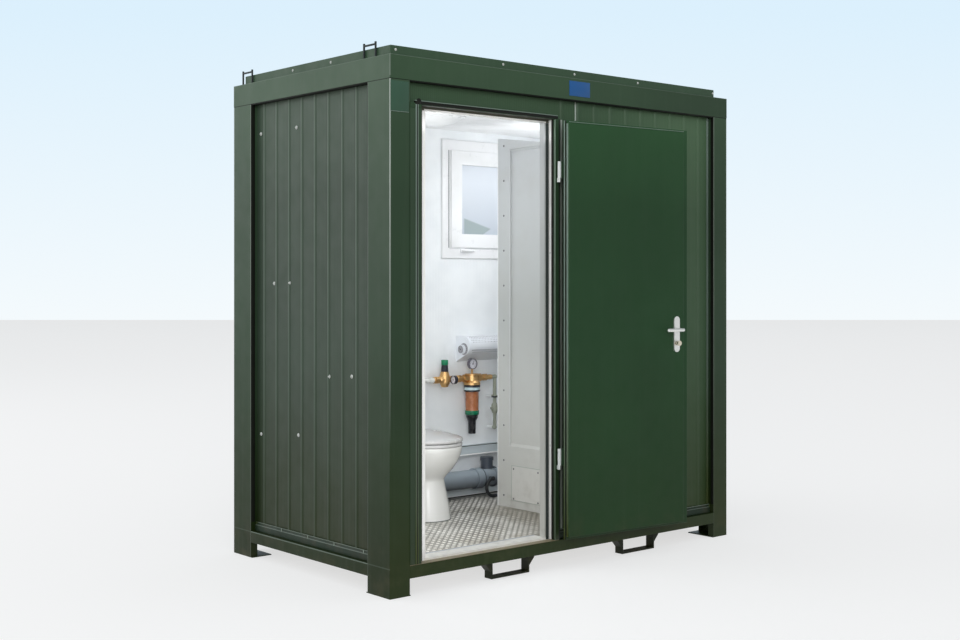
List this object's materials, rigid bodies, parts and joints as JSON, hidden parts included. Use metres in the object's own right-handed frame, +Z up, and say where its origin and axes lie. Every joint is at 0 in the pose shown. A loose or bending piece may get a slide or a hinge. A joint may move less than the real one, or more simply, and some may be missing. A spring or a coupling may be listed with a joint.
{
  "type": "portable toilet cabin",
  "caption": "Green steel-framed portable washroom cabin with ribbed wall panels, an open hinged door, a toilet, a water filter line, fork loops and a raised roof sheet.",
  "frame": {"origin": "middle of the cabin's plan at ground level, midway between the fork tunnels", "axes": "+X to the right along the front, +Y from the front to the back, +Z up"},
  "size_m": [2.4, 1.6103, 2.57],
  "materials": {
    "frame_paint": "dark green gloss paint",
    "wall_paint": "dark olive green coated sheet",
    "door_paint": "dark green satin paint",
    "zinc": "zinc plated steel",
    "lock_steel": "satin steel",
    "turn_brass": "dull brass",
    "tread_plate": "tread plate",
    "sill": "worn beige paint",
    "white_board": "smooth white lining",
    "white_plastic": "glossy white",
    "glass": "obscured",
    "panel_grey": "warm light grey moulding",
    "vitreous": "white glaze",
    "brass": "cast brass",
    "pipe_white": "off-white pipe",
    "filter_amber": "amber cup over a copper screen",
    "gauge": "black case and white dial",
    "drain_grey": "grey drain pipe",
    "hose_black": "black ribbed hose",
    "trunking": "light grey trim"
  },
  "bodies": {
    "cabin": {"corner_posts": "frame_paint", "floor_rails_long": "frame_paint", "floor_rails_short": "frame_paint", "roof_rails_long": "frame_paint", "roof_rails_short": "frame_paint", "roof_sheet": "frame_paint", "roof_lugs": "frame_paint", "fork_loops": "frame_paint", "floor_deck": "tread_plate", "ceiling_board": "white_board", "left_wall": "wall_paint", "right_wall": "wall_paint", "back_wall_left": "wall_paint", "back_wall_right": "wall_paint", "front_wall_edge": "wall_paint", "front_wall_over_door": "wall_paint", "front_wall_beside_door": "wall_paint", "front_wall_right": "wall_paint", "base_flashings": "frame_paint", "door_jambs": "frame_paint", "door_head": "frame_paint", "door_threshold": "sill", "hinge_frame_halves": "zinc", "window_frame": "white_plastic", "window_sash": "white_plastic", "window_glass": "glass", "window_handle": "white_plastic", "side_panel": "panel_grey", "access_cover": "panel_grey", "toilet_pan": "vitreous", "toilet_seat": "white_plastic", "toilet_cistern": "white_plastic", "heater": "white_plastic", "heater_dial": "white_plastic", "ceiling_lamp": "white_plastic", "water_pipe": "pipe_white", "pressure_reducer": "brass", "filter_head": "brass", "filter_cup": "filter_amber", "gauges": "gauge", "drop_pipe": "pipe_white", "drain_pipe": "drain_grey", "waste_hose": "hose_black", "wall_trunking": "trunking"},
    "door": {"door_leaf": "door_paint", "hinge_door_halves": "zinc", "lock_plates": "lock_steel"},
    "lever": {"door_lever": "lock_steel"},
    "turn": {"thumb_turn": "turn_brass"},
    "lid": {"toilet_lid": "white_plastic"}
  },
  "joints": [
    {"name": "door_hinge", "type": "hinge", "parent": "cabin", "child": "door", "pos_m": [-0.15, -0.722, 1], "axis": [0, 0, -1], "range_deg": [0, 175]},
    {"name": "lever_turn", "type": "hinge", "parent": "door", "child": "lever", "pos_m": [0.59825, -0.83213, 1.196], "axis": [-0.0872, -0.9962, 0], "range_deg": [0, 40], "stiffness_Nm_per_rad": 2, "springref_deg": -28.65},
    {"name": "thumb_turn_turn", "type": "hinge", "parent": "door", "child": "turn", "pos_m": [0.59825, -0.83213, 1.124], "axis": [-0.0872, -0.9962, 0], "range_deg": [0, 90]},
    {"name": "lid_hinge", "type": "hinge", "parent": "cabin", "child": "lid", "pos_m": [-0.3, 0.42, 0.586], "axis": [-1, 0, 0], "range_deg": [0, 95]}
  ]
}
